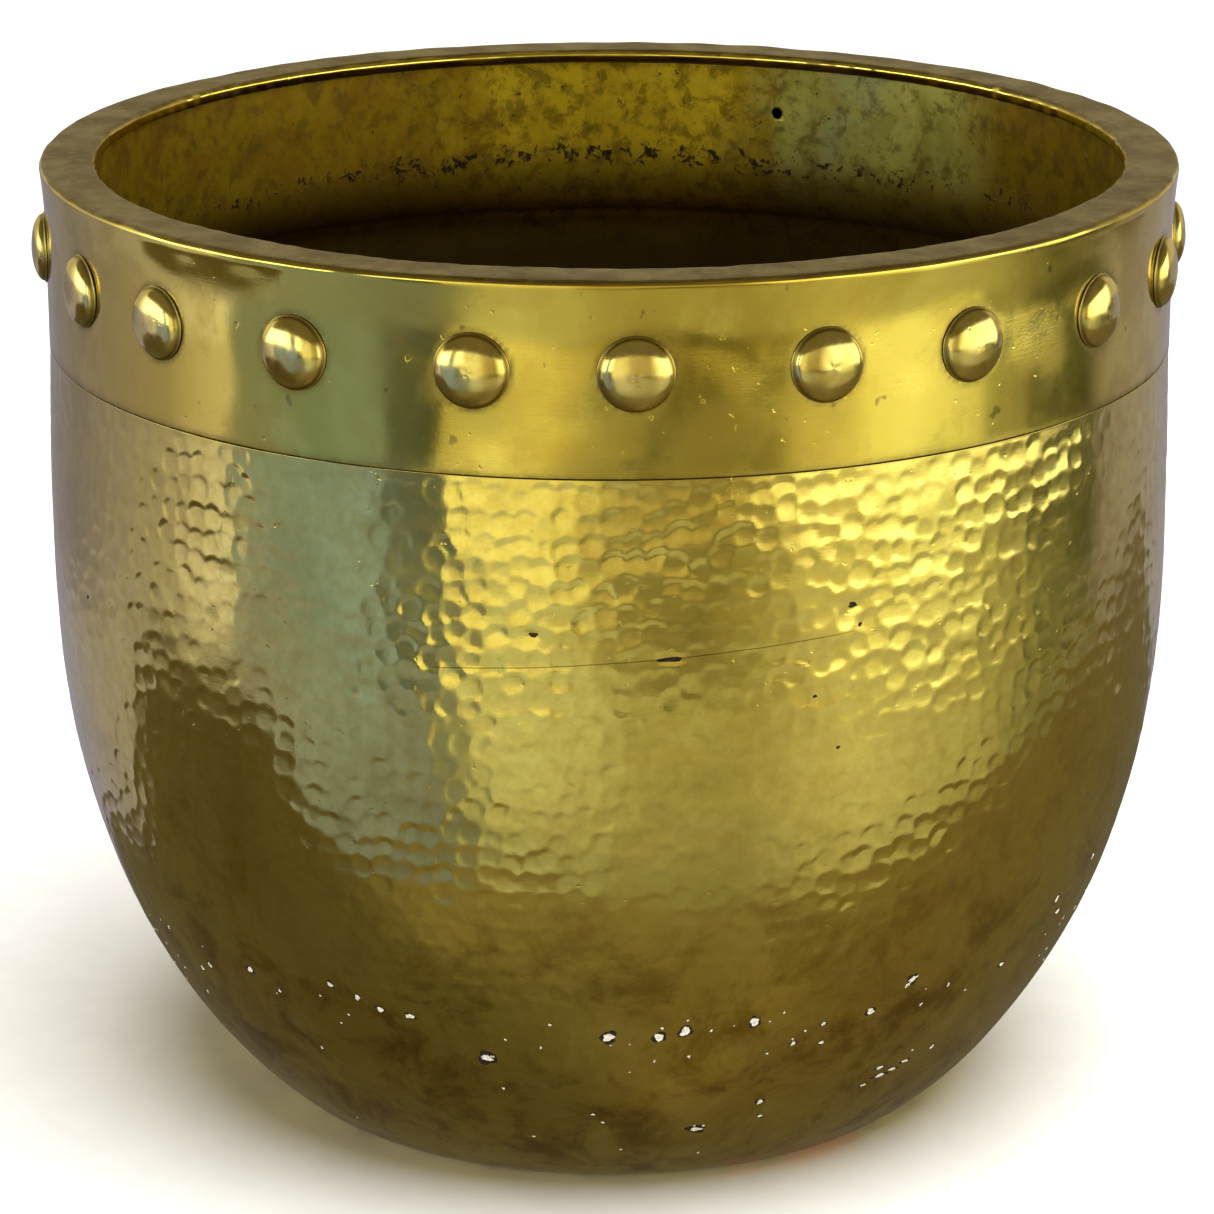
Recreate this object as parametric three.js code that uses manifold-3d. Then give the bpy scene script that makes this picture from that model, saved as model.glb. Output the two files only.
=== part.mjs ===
// A hammered brass planter pot: a raised bowl with a necked-in top, a smooth collar that is folded
// over the neck, and a row of domed studs riveted through the collar.
// Lengths are in millimetres. The pot stands on z = 0, its axis is +Z and its front faces -Y.

import * as THREE from 'three';
import { mergeVertices } from 'three/addons/utils/BufferGeometryUtils.js';
import Module from 'manifold-3d';

const wasm = await Module();
wasm.setup();

// ---- Driving dimensions ----

const POT_HEIGHT = 346;
const FIT_GAP = 0.3; // left between pieces that touch

// The bowl, measured outside
const BELLY_RADIUS = 202.7; // the widest hoop of the wall
const BELLY_HEIGHT = 212; // height of that hoop
const FOOT_RADIUS = 121.8; // the flat that the pot stands on
const SIDE_POWER = 2 / 1.2; // these two powers set how full the bowl's curve is
const BASE_POWER = 2 / 2.46;
const BOWL_SHEET = 1.5;

// The collar, measured outside
const COLLAR_DEPTH = 66; // from the lip down to the seam
const SEAM_RADIUS = 201.6; // collar and bowl are flush here
const RIM_RADIUS = 203;
const FLARE_DEPTH = 24; // the collar widens from the seam radius to the rim radius over this
const LIP_WIDTH = 20; // the flat on top of the rim
const LIP_RETURN = 5.2; // the lip's inner edge turns down by this
const LIP_CORNER = 2.4; // radius of the lip's two folds
const COLLAR_SHEET = 1.2;

// The neck, which the collar's lip hooks over
const LEDGE_WIDTH = 2.1; // the collar's lower edge rests on this
const SHOULDER_RISE = 20;
const NECK_HOLE_RADIUS = 2.2;
const NECK_HOLE_DEPTH = 23.5; // below the lip
const NECK_HOLE_BEARING = 159; // degrees from the front, towards +X

// The studs
const STUD_COUNT = 21;
const STUD_DEPTH = 31; // of the row, below the lip
const STUD_RADIUS = 12.7;
const STUD_DOME = 4.6; // height of the dome over its brim
const STUD_BRIM = 0.7;
const SHANK_RADIUS = 2.5;
const SHANK_CLEARANCE = 0.3;
const TAIL_RADIUS = 4;
const TAIL_THICKNESS = 1.8;
const TAIL_GAP = 0.5; // between the hammered tail and the inside of the collar
const FIRST_STUD_BEARING = 3.3; // degrees from the front, towards +X
// How far each stud was set off its even pitch along the collar, by eye and by hand.
const STUD_STRAY = [-3, 0, -5, -1, 1, 0, 2, -2, 1, -1, 3, -2, 0, 2, -1, 1, -2, 7, 0, 1, 4];

// How finely round shapes are divided
const HOOP_STEPS = 60;
const BOWL_STEPS = 9;
const BELLY_STEPS = 2;
const SHOULDER_STEPS = 3;
const FOLD_STEPS = 2;
const STUD_STEPS = 12;
const DOME_STEPS = 3;

const SEAM_HEIGHT = POT_HEIGHT - COLLAR_DEPTH;
const LIP_INNER_RADIUS = RIM_RADIUS - LIP_WIDTH;
const NECK_RADIUS = LIP_INNER_RADIUS + COLLAR_SHEET + FIT_GAP + BOWL_SHEET; // outside of the neck

const BRASS = { color: 0x9c8426, roughness: 0.28, metalness: 1 };
const POLISHED_BRASS = { color: 0xc2a53c, roughness: 0.2, metalness: 1 };
const BRIGHT_BRASS = { color: 0xd6bb55, roughness: 0.15, metalness: 1 };

// ---- Shared shaping ----

// The path moved sideways by `distance`, to the left of its direction of travel.
function offsetPath(path, distance) {
  const normals = path.slice(1).map((point, index) => {
    const along = point.clone().sub(path[index]).normalize();
    return new THREE.Vector2(-along.y, along.x);
  });
  return path.map((point, index) => {
    const before = normals[Math.max(index - 1, 0)];
    const after = normals[Math.min(index, normals.length - 1)];
    const mitre = before.clone().add(after).divideScalar(1 + before.dot(after));
    return point.clone().addScaledVector(mitre, distance);
  });
}

// The section of a sheet: its outer face, then its inner face back again.
function sheetSection(outerFace, thickness) {
  return [...outerFace, ...offsetPath(outerFace, thickness).reverse()];
}

// A closed solid turned from (radius, height) points, with its axis on +Z. The seam lies at the front.
function turned(section, steps) {
  const lathe = new THREE.LatheGeometry(section, steps).rotateX(Math.PI / 2);
  lathe.deleteAttribute('normal');
  lathe.deleteAttribute('uv');
  return mergeVertices(lathe);
}

function toSolid(geometry) {
  const corners = geometry.index.array;
  const triangles = [];
  for (let i = 0; i < corners.length; i += 3) {
    const [a, b, c] = corners.slice(i, i + 3);
    if (a !== b && b !== c && c !== a) {
      triangles.push(a, b, c);
    }
  }
  return new wasm.Manifold(new wasm.Mesh({
    numProp: 3,
    vertProperties: geometry.getAttribute('position').array,
    triVerts: new Uint32Array(triangles),
  }));
}

function toGeometry(solid) {
  const mesh = solid.getMesh();
  const geometry = new THREE.BufferGeometry();
  geometry.setAttribute('position', new THREE.BufferAttribute(mesh.vertProperties, 3));
  geometry.setIndex(new THREE.BufferAttribute(mesh.triVerts, 1));
  geometry.computeVertexNormals();
  return geometry;
}

// A turning and a shift that take a shape whose axis is +Z to one that points straight out of the
// pot, its origin at the given radius, height and bearing.
function outwardPlace(radius, height, bearing) {
  const place = new THREE.Matrix4().makeRotationZ(bearing);
  place.multiply(new THREE.Matrix4().makeTranslation(0, -radius, height));
  return place.multiply(new THREE.Matrix4().makeRotationX(Math.PI / 2));
}

// A drill through a wall, long enough to pass both its faces.
function drill(radius, wallRadius, height, bearing) {
  const length = 12;
  const rod = new THREE.CylinderGeometry(radius, radius, length, STUD_STEPS);
  rod.deleteAttribute('normal');
  rod.deleteAttribute('uv');
  rod.rotateX(Math.PI / 2);
  return toSolid(mergeVertices(rod).applyMatrix4(outwardPlace(wallRadius, height, bearing)));
}

// ---- The bowl ----

function bowlWall() {
  const wall = [new THREE.Vector2(0, 0)];
  for (let step = 0; step <= BOWL_STEPS; step += 1) {
    const angle = (1 - step / BOWL_STEPS) * Math.PI / 2;
    wall.push(new THREE.Vector2(
      FOOT_RADIUS + (BELLY_RADIUS - FOOT_RADIUS) * Math.cos(angle) ** SIDE_POWER,
      BELLY_HEIGHT * (1 - Math.sin(angle) ** BASE_POWER),
    ));
  }
  const ledgeHeight = SEAM_HEIGHT - FIT_GAP;
  for (let step = 1; step <= BELLY_STEPS; step += 1) {
    const share = step / BELLY_STEPS;
    wall.push(new THREE.Vector2(
      BELLY_RADIUS - (BELLY_RADIUS - SEAM_RADIUS) * share ** 2,
      BELLY_HEIGHT + (ledgeHeight - BELLY_HEIGHT) * share,
    ));
  }
  return wall;
}

// The ledge under the collar, the shoulder, and the neck up to where the lip folds over it.
function bowlNeck() {
  const ledgeHeight = SEAM_HEIGHT - FIT_GAP;
  const ledgeInner = SEAM_RADIUS - LEDGE_WIDTH;
  const neck = [];
  for (let step = 0; step <= SHOULDER_STEPS; step += 1) {
    const angle = (step / SHOULDER_STEPS) * Math.PI / 2;
    neck.push(new THREE.Vector2(
      ledgeInner - (ledgeInner - NECK_RADIUS) * Math.sin(angle),
      ledgeHeight + SHOULDER_RISE * (1 - Math.cos(angle)),
    ));
  }
  neck.push(new THREE.Vector2(NECK_RADIUS, POT_HEIGHT - LIP_CORNER - FIT_GAP));
  return neck;
}

function makeBowl() {
  const section = sheetSection([...bowlWall(), ...bowlNeck()], BOWL_SHEET);
  const hole = drill(
    NECK_HOLE_RADIUS,
    NECK_RADIUS,
    POT_HEIGHT - NECK_HOLE_DEPTH,
    THREE.MathUtils.degToRad(NECK_HOLE_BEARING),
  );
  return toGeometry(toSolid(turned(section, HOOP_STEPS)).subtract(hole));
}

// ---- The collar ----

function collarFace() {
  const face = new THREE.Path();
  const flareFoot = POT_HEIGHT - FLARE_DEPTH;
  const foldHeight = POT_HEIGHT - LIP_CORNER;
  face.moveTo(SEAM_RADIUS, SEAM_HEIGHT);
  face.lineTo(SEAM_RADIUS, flareFoot);
  face.quadraticCurveTo(SEAM_RADIUS, (flareFoot + foldHeight) / 2, RIM_RADIUS, foldHeight);
  face.absarc(RIM_RADIUS - LIP_CORNER, foldHeight, LIP_CORNER, 0, Math.PI / 2);
  face.absarc(LIP_INNER_RADIUS + LIP_CORNER, foldHeight, LIP_CORNER, Math.PI / 2, Math.PI);
  face.lineTo(LIP_INNER_RADIUS, POT_HEIGHT - LIP_RETURN);
  return face.getPoints(FOLD_STEPS);
}

function makeCollar(bearings) {
  const section = sheetSection(collarFace(), COLLAR_SHEET);
  let collar = toSolid(turned([...section, section[0]], HOOP_STEPS));
  for (const bearing of bearings) {
    collar = collar.subtract(drill(
      SHANK_RADIUS + SHANK_CLEARANCE,
      SEAM_RADIUS,
      POT_HEIGHT - STUD_DEPTH,
      bearing,
    ));
  }
  return toGeometry(collar);
}

// ---- The studs ----

function studBearings() {
  return STUD_STRAY.map((stray, index) => {
    const even = THREE.MathUtils.degToRad(FIRST_STUD_BEARING + index * 360 / STUD_COUNT);
    return even + stray / SEAM_RADIUS;
  });
}

// One rivet: the hammered tail behind the collar, the shank, the brim and the dome. Its height is
// measured from the collar's outer face.
function makeStud() {
  const tailFace = -COLLAR_SHEET - TAIL_GAP;
  const tailEnd = tailFace - TAIL_THICKNESS;
  const section = [
    new THREE.Vector2(0, tailEnd),
    new THREE.Vector2(SHANK_RADIUS, tailEnd),
    new THREE.Vector2(TAIL_RADIUS, tailFace),
    new THREE.Vector2(SHANK_RADIUS, tailFace),
    new THREE.Vector2(SHANK_RADIUS, FIT_GAP),
    new THREE.Vector2(STUD_RADIUS, FIT_GAP),
  ];
  for (let step = 0; step <= DOME_STEPS; step += 1) {
    const angle = (step / DOME_STEPS) * Math.PI / 2;
    section.push(new THREE.Vector2(
      STUD_RADIUS * Math.cos(angle),
      FIT_GAP + STUD_BRIM + STUD_DOME * Math.sin(angle),
    ));
  }
  return turned(section, STUD_STEPS);
}

// ---- The assembly ----

function addPiece(group, name, geometry, finish) {
  const piece = new THREE.Mesh(geometry, new THREE.MeshStandardMaterial(finish));
  piece.name = name;
  group.add(piece);
  return piece;
}

function makePot() {
  const pot = new THREE.Group();
  const bearings = studBearings();
  addPiece(pot, 'bowl', makeBowl(), BRASS);
  addPiece(pot, 'rim_collar', makeCollar(bearings), POLISHED_BRASS);
  bearings.forEach((bearing, index) => {
    const name = `stud_${String(index + 1).padStart(2, '0')}`;
    const stud = addPiece(pot, name, makeStud(), BRIGHT_BRASS);
    stud.applyMatrix4(outwardPlace(SEAM_RADIUS, POT_HEIGHT - STUD_DEPTH, bearing));
  });
  return pot;
}

export default makePot();
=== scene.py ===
"""A hammered brass planter pot on a pale floor: the looks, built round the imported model.

Lengths are in metres. The pot stands on z = 0 and its front faces -Y. A bearing is an angle round
the pot's axis, from the front towards +X.
"""

import math

import bpy
import numpy as np
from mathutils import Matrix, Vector


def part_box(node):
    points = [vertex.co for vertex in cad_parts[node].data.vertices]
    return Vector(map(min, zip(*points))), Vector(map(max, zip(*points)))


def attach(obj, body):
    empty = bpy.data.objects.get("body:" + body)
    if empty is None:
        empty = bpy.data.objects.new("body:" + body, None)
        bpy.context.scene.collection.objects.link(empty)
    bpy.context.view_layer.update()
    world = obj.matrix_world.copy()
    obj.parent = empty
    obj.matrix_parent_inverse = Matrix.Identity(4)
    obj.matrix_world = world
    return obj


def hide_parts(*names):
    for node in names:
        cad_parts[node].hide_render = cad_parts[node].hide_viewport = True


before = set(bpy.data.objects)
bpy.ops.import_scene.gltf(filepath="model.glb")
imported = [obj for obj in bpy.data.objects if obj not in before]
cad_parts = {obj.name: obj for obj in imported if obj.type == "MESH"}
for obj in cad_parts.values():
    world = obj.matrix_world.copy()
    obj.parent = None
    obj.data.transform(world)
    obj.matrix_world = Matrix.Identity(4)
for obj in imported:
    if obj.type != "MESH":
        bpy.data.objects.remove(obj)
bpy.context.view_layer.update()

MM = 0.001
TURN = 2 * math.pi

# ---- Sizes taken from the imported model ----

BOWL_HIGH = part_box("bowl")[1]
COLLAR_LOW, COLLAR_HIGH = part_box("rim_collar")
STUDS = sorted(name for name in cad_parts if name.startswith("stud_"))

POT_HEIGHT = COLLAR_HIGH.z
SEAM_HEIGHT = COLLAR_LOW.z
RIM_RADIUS = COLLAR_HIGH.x
BELLY_RADIUS = BOWL_HIGH.x
NECK_TOP = BOWL_HIGH.z

# ---- Sizes of the section, as the metal is formed ----

BELLY_HEIGHT = 212 * MM
FOOT_RADIUS = 121.8 * MM
SIDE_POWER = 2 / 1.2
BASE_POWER = 2 / 2.46
SEAM_RADIUS = 201.6 * MM
BOWL_SHEET = 1.5 * MM
COLLAR_SHEET = 1.2 * MM
LEDGE_WIDTH = 2.1 * MM
SHOULDER_RISE = 20 * MM
NECK_RADIUS = 186 * MM
FLARE_DEPTH = 24 * MM
LIP_WIDTH = 20 * MM
LIP_RETURN = 5.2 * MM
LIP_CORNER = 2.4 * MM
FIT_GAP = 0.3 * MM
STUD_RADIUS = 12.7 * MM
HOLE_RADIUS = 2.2 * MM
HOLE_DEPTH = 23.5 * MM
HOLE_BEARING = math.radians(159)
SHANK_HOLE_RADIUS = 2.8 * MM

# ---- Hammer marks ----

ROW_PITCH = 7.9 * MM
MARK_PITCH = 7.2 * MM
MARK_RADIUS = (3.9 * MM, 5.0 * MM)
MARK_DEPTH = (0.09 * MM, 0.16 * MM)
MARK_LEAN = 0.012
MARK_LEAN_SPREAD = 0.016
MARK_SIDE_LEAN = -0.009
MARK_SIDE_SPREAD = 0.015
MARK_STRAY = 2.4 * MM
MARK_EDGE = (0.86, 1.03)
SHALLOWEST = 0.02 * MM
BOWL_COLUMNS = 1280
COLLAR_COLUMNS = 720


# ---- Meshes made of rings ----


def ring(radius, height, columns, relief=0.0):
    """Points round the axis; relief is how far each lies inside the radius."""
    bearings = TURN * np.arange(columns) / columns
    reach = np.broadcast_to(radius - relief, columns)
    heights = np.broadcast_to(height, columns)
    return np.column_stack((reach * np.sin(bearings), -reach * np.cos(bearings), heights))


def band(lower, upper, a, b):
    """Faces between two rings that start at vertex a and b. One may have half the other's points."""
    if lower == upper:
        i = np.arange(lower)
        j = (i + 1) % lower
        return np.empty((0, 3), int), np.column_stack((a + i, a + j, b + j, b + i))
    if lower == 2 * upper:
        i = np.arange(upper)
        a0, a1, a2 = a + 2 * i, a + 2 * i + 1, a + (2 * i + 2) % lower
        b0, b1 = b + i, b + (i + 1) % upper
        corners = ((a0, a1, b0), (a1, b1, b0), (a1, a2, b1))
    else:
        i = np.arange(lower)
        a0, a1 = a + i, a + (i + 1) % lower
        b0, b1, b2 = b + 2 * i, b + 2 * i + 1, b + (2 * i + 2) % upper
        corners = ((a0, b1, b0), (a0, a1, b1), (a1, b2, b1))
    return np.vstack([np.column_stack(c) for c in corners]), np.empty((0, 4), int)


def skin(rings, closed=False, poles=False):
    """Vertices, triangles and quads of a surface through the rings."""
    points = np.vstack(rings)
    counts = [len(r) for r in rings]
    starts = np.concatenate(([0], np.cumsum(counts)[:-1]))
    triangles, quads = [], []
    pairs = [(k, k + 1) for k in range(len(rings) - 1)]
    if closed:
        pairs.append((len(rings) - 1, 0))
    for low, high in pairs:
        t, q = band(counts[low], counts[high], starts[low], starts[high])
        triangles.append(t)
        quads.append(q)
    if poles:
        first, last = len(points), len(points) + 1
        points = np.vstack((points, rings[0].mean(0), rings[-1].mean(0)))
        i = np.arange(counts[0])
        j = (i + 1) % counts[0]
        triangles.append(np.column_stack((j, i, np.full(counts[0], first))))
        i = np.arange(counts[-1])
        j = (i + 1) % counts[-1]
        triangles.append(
            np.column_stack((starts[-1] + i, starts[-1] + j, np.full(counts[-1], last)))
        )
    return points, np.vstack(triangles), np.vstack(quads)


def make_piece(name, points, triangles, quads, materials, finish=None, fields=None):
    """A smooth-shaded mesh object. finish picks each face's material; fields are values by point."""
    mesh = bpy.data.meshes.new(name)
    mesh.vertices.add(len(points))
    mesh.vertices.foreach_set("co", points.astype(np.float32).ravel())
    corners = np.concatenate((triangles.ravel(), quads.ravel()))
    mesh.loops.add(len(corners))
    mesh.loops.foreach_set("vertex_index", corners.astype(np.int32))
    starts = np.concatenate(
        (3 * np.arange(len(triangles)), 3 * len(triangles) + 4 * np.arange(len(quads)))
    )
    mesh.polygons.add(len(starts))
    mesh.polygons.foreach_set("loop_start", starts.astype(np.int32))
    if finish is not None:
        first = np.concatenate((triangles[:, 0], quads[:, 0]))
        mesh.polygons.foreach_set("material_index", finish[first].astype(np.int32))
    mesh.update(calc_edges=True)
    mesh.shade_smooth()
    for key, values in (fields or {}).items():
        mesh.attributes.new(key, "FLOAT", "POINT").data.foreach_set(
            "value", values.astype(np.float32)
        )
    for material in materials:
        mesh.materials.append(material)
    piece = bpy.data.objects.new(name, mesh)
    bpy.context.scene.collection.objects.link(piece)
    return piece


def walk(points, spacing):
    """The path again, with a point about every spacing(height) along it."""
    points = np.array(points)
    steps = np.linalg.norm(np.diff(points, axis=0), axis=1)
    along = np.concatenate(([0], np.cumsum(steps)))
    stops, here = [0.0], 0.0
    while here < along[-1]:
        here += spacing(np.interp(here, along, points[:, 1]))
        stops.append(here)
    stops = np.array(stops) * along[-1] / stops[-1]
    return stops, np.column_stack([np.interp(stops, along, points[:, k]) for k in (0, 1)])


def normals_of(path):
    """Unit vectors to the right of the path's direction, which is outwards on the outside."""
    along = np.gradient(path, axis=0)
    along /= np.linalg.norm(along, axis=1)[:, None]
    return np.column_stack((along[:, 1], -along[:, 0]))


def smooth(value, low, high):
    t = np.clip((value - low) / (high - low), 0, 1)
    return t * t * (3 - 2 * t)


def uneven(seed, turns, per_metre, count=14):
    """A smooth random field of bearing and distance, about -1 to 1, with no seam round the pot."""
    rng = np.random.default_rng(seed)
    around = rng.integers(-turns, turns + 1, count)
    along = rng.uniform(-per_metre, per_metre, count) * TURN
    phase = rng.uniform(0, TURN, count)
    weight = rng.uniform(0.5, 1, count)
    weight /= math.sqrt((weight**2).sum() / 2) * 1.6

    def field(bearing, distance):
        total = 0
        for m, k, p, w in zip(around, along, phase, weight):
            total = total + w * np.cos(m * bearing + k * distance + p)
        return total

    return field


def turned_from(angle, centre):
    """angle minus centre, brought to between minus and plus half a turn."""
    return (angle - centre + math.pi) % TURN - math.pi


# ---- The bowl's shape ----


def wall_path():
    """Radius and height up the outside of the bowl, from the edge of its foot to the seam."""
    side = []
    for angle in np.linspace(math.pi / 2, 0, 240):
        reach = abs(math.cos(angle)) ** SIDE_POWER
        rise = 1 - math.sin(angle) ** BASE_POWER
        side.append((FOOT_RADIUS + (BELLY_RADIUS - FOOT_RADIUS) * reach, BELLY_HEIGHT * rise))
    ledge = SEAM_HEIGHT - FIT_GAP
    for share in np.linspace(0, 1, 30)[1:]:
        radius = BELLY_RADIUS - (BELLY_RADIUS - SEAM_RADIUS) * share**2
        side.append((radius, BELLY_HEIGHT + (ledge - BELLY_HEIGHT) * share))
    return side


def hammer_relief(along, path, columns):
    """How deep the planishing marks are at each row and column of the wall."""
    rng = np.random.default_rng(7)
    depth = np.zeros((len(along), columns))
    step = TURN / columns
    wander = uneven(21, 7, 4)
    strength = uneven(22, 9, 14)
    reach = MARK_RADIUS[1]
    rows = int((along[-1] - 4 * MM) / ROW_PITCH)
    for row in range(rows):
        centre = along[-1] - 5 * MM - row * ROW_PITCH
        height = np.interp(centre, along, path[:, 1])
        radius = np.interp(centre, along, path[:, 0])
        count = int(TURN * radius / MARK_PITCH)
        first = rng.uniform(0, TURN)
        for k in range(count):
            bearing = first + (k + rng.uniform(-0.2, 0.2)) * TURN / count
            here = centre + rng.uniform(-2.4, 2.4) * MM + MARK_STRAY * wander(bearing, centre)
            size = rng.uniform(*MARK_RADIUS)
            force = 0.72 + 0.45 * strength(bearing, here) + rng.uniform(-0.2, 0.2)
            for angle, level, wide, tall, share in SMOOTHED:
                u = turned_from(bearing, math.radians(angle)) / math.radians(wide)
                force -= share * math.exp(-(u**2) - ((height - level) / tall) ** 2)
            force = min(max(force, 0.1), 1.15) * (0.3 + 0.7 * smooth(height, 0.045, 0.115))
            deep = force * rng.uniform(*MARK_DEPTH)
            lean_up = force * (MARK_LEAN + rng.normal(0, MARK_LEAN_SPREAD))
            lean_side = force * rng.normal(MARK_SIDE_LEAN, MARK_SIDE_SPREAD)
            i0, i1 = np.searchsorted(along, (here - reach, here + reach))
            half = int(reach / (radius * step)) + 1
            j = (int(round(bearing / step)) + np.arange(-half, half + 1)) % columns
            v = along[i0:i1, None] - here
            u = radius * turned_from(step * j, bearing)[None, :]
            q = np.sqrt(u**2 + v**2) / size
            dish = deep * (1.25 - 0.3 * q**2 - 0.7 * q**4) + lean_up * v + lean_side * u
            dish = np.maximum(dish, SHALLOWEST)
            struck = 1 - smooth(q, *MARK_EDGE)
            block = np.ix_(np.arange(i0, i1), j)
            depth[block] += (dish - depth[block]) * struck
    return depth


SMOOTHED = [
    # where the marks were rubbed out: bearing in degrees, height, half width, half height, share
    (13.0, 0.1780, 13.0, 0.034, 0.60),
    (1.0, 0.2640, 8.0, 0.014, 0.45),
    (-78.0, 0.2500, 14.0, 0.045, 0.55),
    (112.0, 0.2100, 16.0, 0.050, 0.50),
    (-140.0, 0.1700, 18.0, 0.040, 0.50),
    (160.0, 0.2500, 14.0, 0.025, 0.50),
]

DENTS = [
    # bearing in degrees, height, half width, half height, depth
    (5.6, 0.2192, 4.0 * MM, 1.1 * MM, 0.30 * MM),
    (-7.0, 0.2275, 1.8 * MM, 1.6 * MM, 0.35 * MM),
    (23.2, 0.2330, 2.0 * MM, 1.8 * MM, 0.35 * MM),
    (-23.9, 0.2034, 3.0 * MM, 2.5 * MM, 0.30 * MM),
    (62.0, 0.1750, 4.0 * MM, 3.0 * MM, 0.40 * MM),
    (-38.0, 0.1180, 9.0 * MM, 4.0 * MM, 0.35 * MM),
    (140.0, 0.1900, 12.0 * MM, 8.0 * MM, 0.60 * MM),
    (-118.0, 0.1500, 9.0 * MM, 12.0 * MM, 0.50 * MM),
    (178.0, 0.2300, 3.0 * MM, 2.2 * MM, 0.35 * MM),
]


def bowl_rings():
    """The bowl's rings from under its foot, up the outside, over the neck and down the inside."""
    along, wall = walk(wall_path(), lambda height: (1.0 if height > 0.06 else 1.8) * MM)
    out = normals_of(wall)
    bearings = TURN * np.arange(BOWL_COLUMNS) / BOWL_COLUMNS
    heights = wall[:, 1][:, None]
    relief = hammer_relief(along, wall, BOWL_COLUMNS)
    sway = 0.16 * MM * (1 + uneven(31, 16, 12)(bearings, along[:, None]))
    sway += 0.05 * MM * (1 + uneven(32, 40, 34)(bearings, along[:, None]))
    for bearing, height, wide, tall, deep in DENTS:
        u = BELLY_RADIUS * turned_from(bearings, math.radians(bearing)) / wide
        v = (heights - height) / tall
        sway += deep * np.exp(-(u**2) - v**2)
    near_seam = 1 - smooth(heights, SEAM_HEIGHT - 3 * MM, SEAM_HEIGHT - 0.5 * MM)
    near_foot = smooth(heights, 0.0, 9 * MM)
    relief = (relief * near_seam + sway) * near_foot
    rings, finish = [], []

    def add(points, kind):
        rings.append(points)
        finish.append(np.full(len(points), kind))

    for radius, columns in ((30 * MM, 160), (70 * MM, 320), (105 * MM, 640)):
        add(ring(radius, 0.0, columns), 0)
    ledge = SEAM_HEIGHT - FIT_GAP
    for i, (radius, height) in enumerate(wall):
        inward = relief[i] * out[i, 0]
        if i == len(wall) - 1:
            add(ring(radius, ledge - 0.15 * MM, BOWL_COLUMNS, inward), 0)
        add(ring(radius, height - relief[i] * out[i, 1], BOWL_COLUMNS, inward), 0)
    ledge_inner = SEAM_RADIUS - LEDGE_WIDTH
    add(ring(SEAM_RADIUS - 0.15 * MM, ledge, BOWL_COLUMNS, relief[-1]), 0)
    add(ring(ledge_inner, ledge, BOWL_COLUMNS // 2), 0)
    neck = []
    for angle in np.linspace(0, math.pi / 2, 9):
        inset = (ledge_inner - NECK_RADIUS) * math.sin(angle)
        neck.append((ledge_inner - inset, ledge + SHOULDER_RISE * (1 - math.cos(angle))))
    for radius, height in neck[1:]:
        add(ring(radius, height, BOWL_COLUMNS // 4), 0)
    for height in np.linspace(neck[-1][1], NECK_TOP, 6)[1:]:
        add(ring(NECK_RADIUS, height, BOWL_COLUMNS // 4), 0)

    inner_path = [(NECK_RADIUS - BOWL_SHEET, h) for h in np.linspace(NECK_TOP, neck[-1][1], 24)]
    inner_path += [(r - BOWL_SHEET, h - 0.4 * BOWL_SHEET) for r, h in neck[-2::-1]]
    outside = np.array(wall_path())[::-1]
    inside = outside - BOWL_SHEET * normals_of(outside[::-1])[::-1]
    inner_path += [tuple(p) for p in inside if p[1] < ledge - 4 * MM]
    inner_along, inner = walk(inner_path, lambda height: 2.0 * MM if height > 0.2 else 5 * MM)
    columns = BOWL_COLUMNS // 2
    turned = TURN * np.arange(columns) / columns
    sway = 0.12 * MM * (1 + uneven(33, 22, 16)(turned, inner_along[:, None]))
    for i, (radius, height) in enumerate(inner):
        add(ring(radius, height, columns, sway[i] * (1 if i else 0)), 1)
    for radius, columns in ((95 * MM, 320), (45 * MM, 160)):
        add(ring(radius, BOWL_SHEET, columns), 1)

    def surface(bearing, height, across, along_wall, lift):
        """Points on the wall, given by how far they lie from a place on it and over it."""
        start = np.interp(height, wall[:, 1], along)
        stop = start + along_wall
        row = np.interp(stop, along, np.arange(len(along)))
        radius = np.interp(stop, along, wall[:, 0])
        angle = bearing + across / radius
        column = angle / TURN * BOWL_COLUMNS
        i, j = np.floor(row).astype(int), np.floor(column).astype(int)
        i = np.clip(i, 0, len(along) - 2)
        v, u = row - i, column - j
        corners = [relief[i + a, (j + b) % BOWL_COLUMNS] for a in (0, 1) for b in (0, 1)]
        deep = (corners[0] * (1 - u) + corners[1] * u) * (1 - v)
        deep = deep + (corners[2] * (1 - u) + corners[3] * u) * v
        way = [np.interp(stop, along, out[:, k]) for k in (0, 1)]
        reach = radius + (lift - deep) * way[0]
        level = np.interp(stop, along, wall[:, 1]) + (lift - deep) * way[1]
        return np.column_stack((reach * np.sin(angle), -reach * np.cos(angle), level))

    return rings, np.concatenate(finish), surface


# ---- The collar's shape ----


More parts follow.
